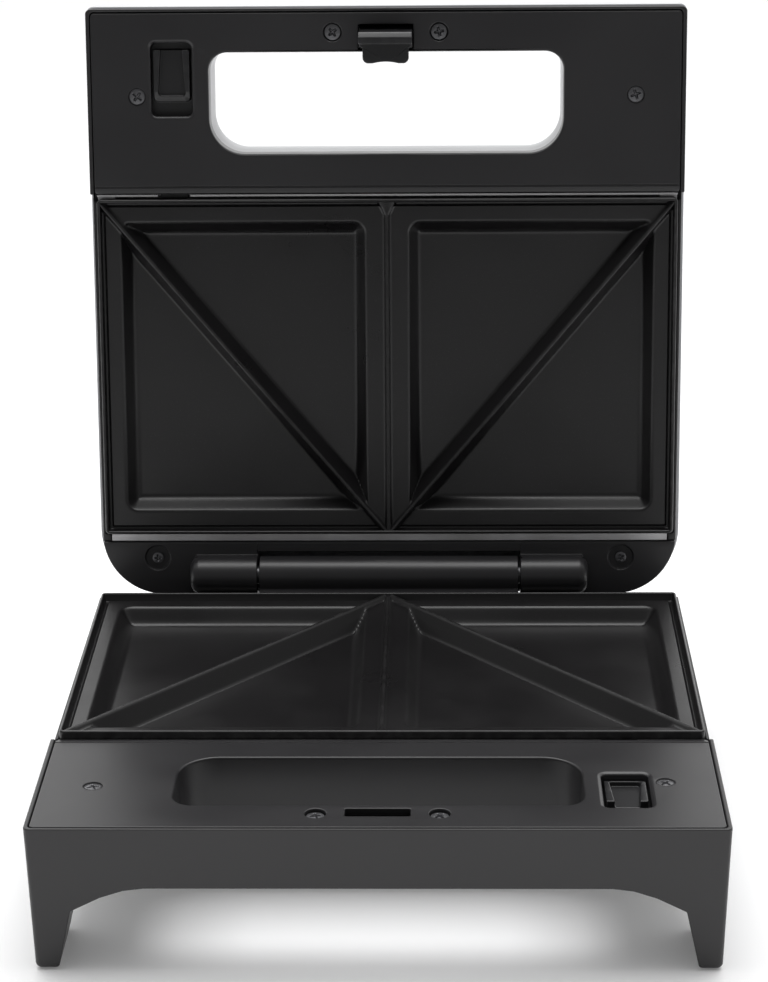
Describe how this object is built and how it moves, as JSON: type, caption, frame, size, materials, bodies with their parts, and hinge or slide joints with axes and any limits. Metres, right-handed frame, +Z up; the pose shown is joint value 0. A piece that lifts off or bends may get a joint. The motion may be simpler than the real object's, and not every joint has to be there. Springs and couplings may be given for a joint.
{
  "type": "sandwich toaster",
  "caption": "Countertop sandwich toaster with a hinged lid, carrying handle openings, a hook latch and removable cooking plates with triangular pockets",
  "frame": {"origin": "middle of the footprint of the open toaster, on the surface it stands on", "axes": "+X to the right seen from the front, +Y towards the hinge side, +Z up; the lid is open 97 degrees"},
  "size_m": [0.256, 0.3146, 0.3057],
  "materials": {
    "body_black": "moulded black plastic with a fine grain",
    "cover_black": "satin black plastic panel",
    "lid_silver": "silver painted plastic",
    "nonstick": "non-stick coated cast aluminium",
    "pan_steel": "thin bright steel sheet",
    "element_steel": "dull stainless tube",
    "screw_steel": "zinc plated steel",
    "button_black": "semi-gloss black plastic",
    "latch_black": "semi-gloss black plastic",
    "spring_steel": "spring wire",
    "foot_rubber": "black rubber",
    "ceramic": "pale heat-proof moulding",
    "wire_sleeve": "silicone wire sleeve",
    "lens_red": "tinted clear plastic",
    "lens_green": "tinted clear plastic",
    "lamp_glass": "neon bulb glass"
  },
  "bodies": {
    "base": {"base_housing": "body_black", "base_front_cover": "cover_black", "base_rear_cover": "cover_black", "bottom_cover": "body_black", "base_pan": "pan_steel", "base_heating_element": "element_steel", "base_element_clips": "pan_steel", "base_release_spring": "spring_steel", "base_cover_screws": "screw_steel", "base_keeper_screws": "screw_steel", "base_rear_screws": "screw_steel", "base_pan_screws": "screw_steel", "bottom_screws": "screw_steel", "latch_keeper": "pan_steel", "hinge_pins": "pan_steel", "rubber_feet": "foot_rubber", "thermostat": "element_steel", "thermal_fuse": "ceramic", "terminal_block": "ceramic", "base_wiring": "wire_sleeve", "hinge_lead": "wire_sleeve", "cord_inlet_bush": "foot_rubber"},
    "base_plate": {"base_plate": "nonstick"},
    "base_release": {"base_release_button": "button_black"},
    "lid": {"lid_outer_cover": "lid_silver", "lid_frame": "body_black", "lid_front_cover": "cover_black", "lid_rear_cover": "cover_black", "lid_pan": "pan_steel", "lid_heating_element": "element_steel", "lid_element_clips": "pan_steel", "lid_release_spring": "spring_steel", "lid_cover_screws": "screw_steel", "lid_latch_screws": "screw_steel", "lid_rear_screws": "screw_steel", "lid_pan_screws": "screw_steel", "latch_carrier": "pan_steel", "latch_pin": "screw_steel", "latch_spring": "spring_steel", "power_lens": "lens_red", "ready_lens": "lens_green", "power_lamp": "lamp_glass", "ready_lamp": "lamp_glass"},
    "lid_plate": {"lid_plate": "nonstick"},
    "lid_release": {"lid_release_button": "button_black"},
    "latch": {"latch": "latch_black"}
  },
  "joints": [
    {"name": "lid_hinge", "type": "hinge", "parent": "base", "child": "lid", "pos_m": [0, 0.08871, 0.062], "axis": [-1, 0, 0], "range_deg": [-97, 0]},
    {"name": "latch_pivot", "type": "hinge", "parent": "lid", "child": "latch", "pos_m": [0, 0.13, 0.29571], "axis": [1, 0, 0], "range_deg": [0, 6], "stiffness_Nm_per_rad": 0.05, "springref_deg": -11.46, "deforming": ["latch_spring"]},
    {"name": "lid_release_slide", "type": "slide", "parent": "lid", "child": "lid_release", "axis": [0, 0.1219, 0.9925], "range_m": [0, 0.0027], "stiffness_N_per_m": 400, "springref_m": -0.003, "deforming": ["lid_release_spring"]},
    {"name": "base_release_slide", "type": "slide", "parent": "base", "child": "base_release", "axis": [0, -1, 0], "range_m": [0, 0.0027], "stiffness_N_per_m": 400, "springref_m": -0.003, "deforming": ["base_release_spring"]},
    {"name": "base_plate_lift", "type": "slide", "parent": "base", "child": "base_plate", "axis": [0, 0, 1], "range_m": [0, 0.045]},
    {"name": "lid_plate_lift", "type": "slide", "parent": "lid", "child": "lid_plate", "axis": [0, -0.9925, 0.1219], "range_m": [0, 0.02]}
  ]
}
